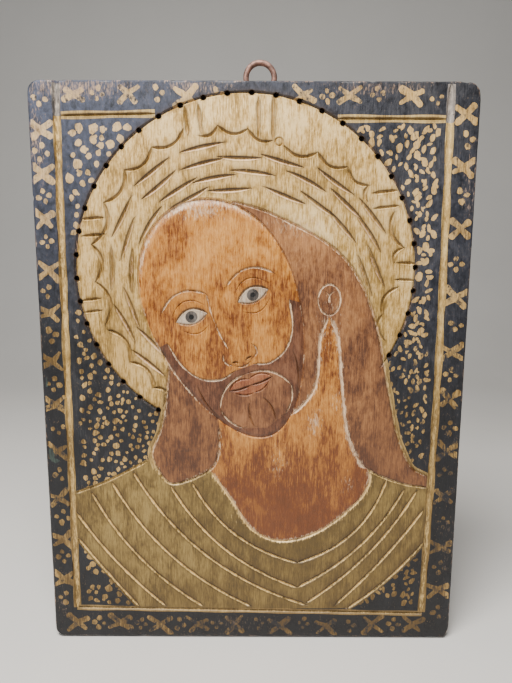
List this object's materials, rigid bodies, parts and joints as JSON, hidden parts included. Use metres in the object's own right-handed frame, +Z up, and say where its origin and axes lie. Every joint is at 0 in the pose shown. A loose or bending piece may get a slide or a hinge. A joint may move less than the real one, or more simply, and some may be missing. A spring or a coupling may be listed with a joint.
{
  "type": "icon panel",
  "caption": "Rectangular wooden icon panel with a head-and-shoulders figure carved in sunk lines and painted, hung by a screw eye in its top edge.",
  "frame": {"origin": "middle of the board's flat back face, which lies against the wall", "axes": "+Z up, the carved front faces -Y, +X to the right as seen from the front, +Y into the wall"},
  "size_m": [0.224, 0.018, 0.3137],
  "materials": {
    "painted_wood": "hand-carved wood, painted black and matt gold with parts stained brown and red-brown, worn pale along the cuts and edges",
    "rusty_iron": "bent iron wire, dull brown with rust"
  },
  "bodies": {
    "root": {"panel": "painted_wood", "hanging_eye": "rusty_iron"}
  },
  "joints": []
}
